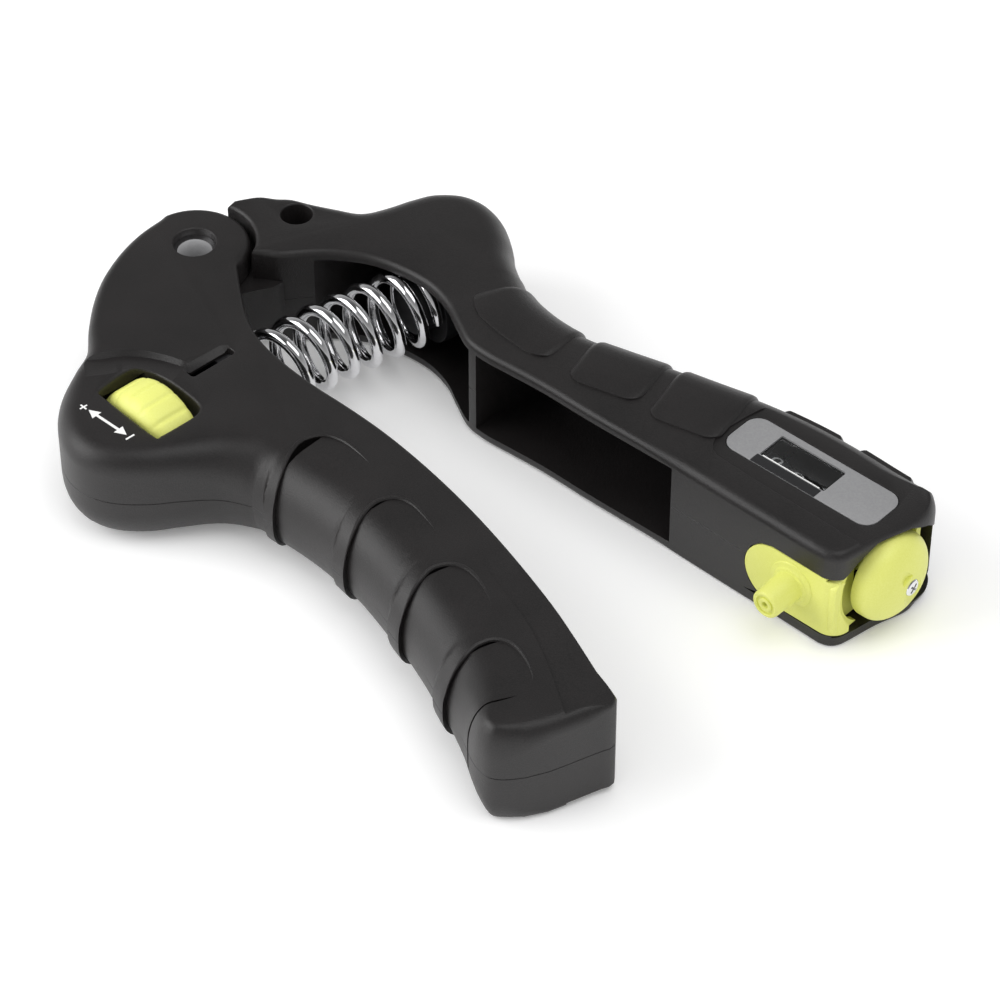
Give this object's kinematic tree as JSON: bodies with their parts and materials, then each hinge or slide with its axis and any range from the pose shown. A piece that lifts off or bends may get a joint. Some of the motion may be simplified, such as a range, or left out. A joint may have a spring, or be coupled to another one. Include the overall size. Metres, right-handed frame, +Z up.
{
  "type": "hand grip strengthener",
  "caption": "Two-handled squeeze exerciser on a pivot pin, with a compression spring, a preload thumbwheel and a squeeze counter with reset knob.",
  "frame": {"origin": "under the middle of the whole object, on the plane that both handles rest on", "axes": "+X along the handles away from the pivot, +Y from the palm handle to the counter handle, +Z up through the thickness"},
  "size_m": [0.1687, 0.1111, 0.0242],
  "materials": {
    "black_plastic": "fine satin grain",
    "lime_plastic": "satin, slightly translucent",
    "chrome": "bright plated",
    "steel": "plain zinc-plated",
    "number_white": "moulded white, painted marks",
    "silver_label": "fine satin",
    "clear_lens": "clear moulded lens"
  },
  "bodies": {
    "counter_side": {"counter_handle": "black_plastic", "spring_cup": "black_plastic", "grip_spring": "chrome", "counter_frame": "steel", "wheel_axle": "steel", "pinion_axle": "steel", "hold_pawl": "steel", "label_plate": "silver_label", "display_lens": "clear_lens", "button_spring": "steel", "knob_spring": "steel"},
    "palm_side": {"palm_handle": "black_plastic", "pivot_pin": "chrome", "pivot_cap": "steel", "pivot_washers": "steel", "thrust_washers": "steel"},
    "preload_slide": {"spring_seat": "black_plastic", "adjuster_screw": "steel"},
    "preload_wheel": {"thumbwheel": "lime_plastic"},
    "units": {"units_wheel": "number_white"},
    "tens": {"tens_wheel": "number_white"},
    "hundreds": {"hundreds_wheel": "number_white"},
    "tens_carry": {"tens_pinion": "number_white"},
    "hundreds_carry": {"hundreds_pinion": "number_white"},
    "button": {"counter_button": "lime_plastic", "drive_pawl": "steel"},
    "reset_slide": {"reset_sleeve": "black_plastic"},
    "reset_turner": {"reset_knob": "lime_plastic", "knob_screw": "chrome"}
  },
  "joints": [
    {"name": "grip_squeeze", "type": "hinge", "parent": "counter_side", "child": "palm_side", "pos_m": [-0.0732, -0.0002, 0.0113], "axis": [0, 0, 1], "range_deg": [0, 16.5], "stiffness_Nm_per_rad": 8, "springref_deg": -1.15, "deforming": ["grip_spring"]},
    {"name": "thumbwheel_turn", "type": "hinge", "parent": "palm_side", "child": "preload_wheel", "pos_m": [-0.0422, -0.0372, 0.0123], "axis": [0, 1, 0], "range_deg": [-1440, 0]},
    {"name": "seat_slide", "type": "slide", "parent": "palm_side", "child": "preload_slide", "axis": [0, 1, 0], "range_m": [-0.008, 0]},
    {"name": "counter_press", "type": "slide", "parent": "counter_side", "child": "button", "axis": [-0.0837, 0.9965, 0], "range_m": [0, 0.0016], "stiffness_N_per_m": 300, "deforming": ["button_spring"]},
    {"name": "units_turn", "type": "hinge", "parent": "counter_side", "child": "units", "pos_m": [0.05573, 0.03775, 0.012], "axis": [0.9965, 0.0837, 0], "continuous": true},
    {"name": "tens_turn", "type": "hinge", "parent": "counter_side", "child": "tens", "pos_m": [0.05573, 0.03775, 0.012], "axis": [0.9965, 0.0837, 0], "continuous": true},
    {"name": "hundreds_turn", "type": "hinge", "parent": "counter_side", "child": "hundreds", "pos_m": [0.05573, 0.03775, 0.012], "axis": [0.9965, 0.0837, 0], "continuous": true},
    {"name": "tens_carry_turn", "type": "hinge", "parent": "counter_side", "child": "tens_carry", "pos_m": [0.05498, 0.04662, 0.00553], "axis": [0.9965, 0.0837, 0], "continuous": true},
    {"name": "hundreds_carry_turn", "type": "hinge", "parent": "counter_side", "child": "hundreds_carry", "pos_m": [0.05498, 0.04662, 0.00553], "axis": [0.9965, 0.0837, 0], "continuous": true},
    {"name": "reset_push", "type": "slide", "parent": "counter_side", "child": "reset_slide", "axis": [-0.9965, -0.0837, 0], "range_m": [0, 0.002], "stiffness_N_per_m": 300, "deforming": ["knob_spring"]},
    {"name": "reset_turn", "type": "hinge", "parent": "reset_slide", "child": "reset_turner", "pos_m": [0.05573, 0.03775, 0.012], "axis": [0.9965, 0.0837, 0], "continuous": true}
  ],
  "couplings": [
    {"joint": "seat_slide", "follows": "thumbwheel_turn", "m_per_rad": 0.0003183},
    {"joint": "tens_turn", "follows": "units_turn", "ratio": 0.1},
    {"joint": "hundreds_turn", "follows": "units_turn", "ratio": 0.01},
    {"joint": "tens_carry_turn", "follows": "units_turn", "ratio": -0.33333},
    {"joint": "hundreds_carry_turn", "follows": "units_turn", "ratio": -0.033333}
  ]
}
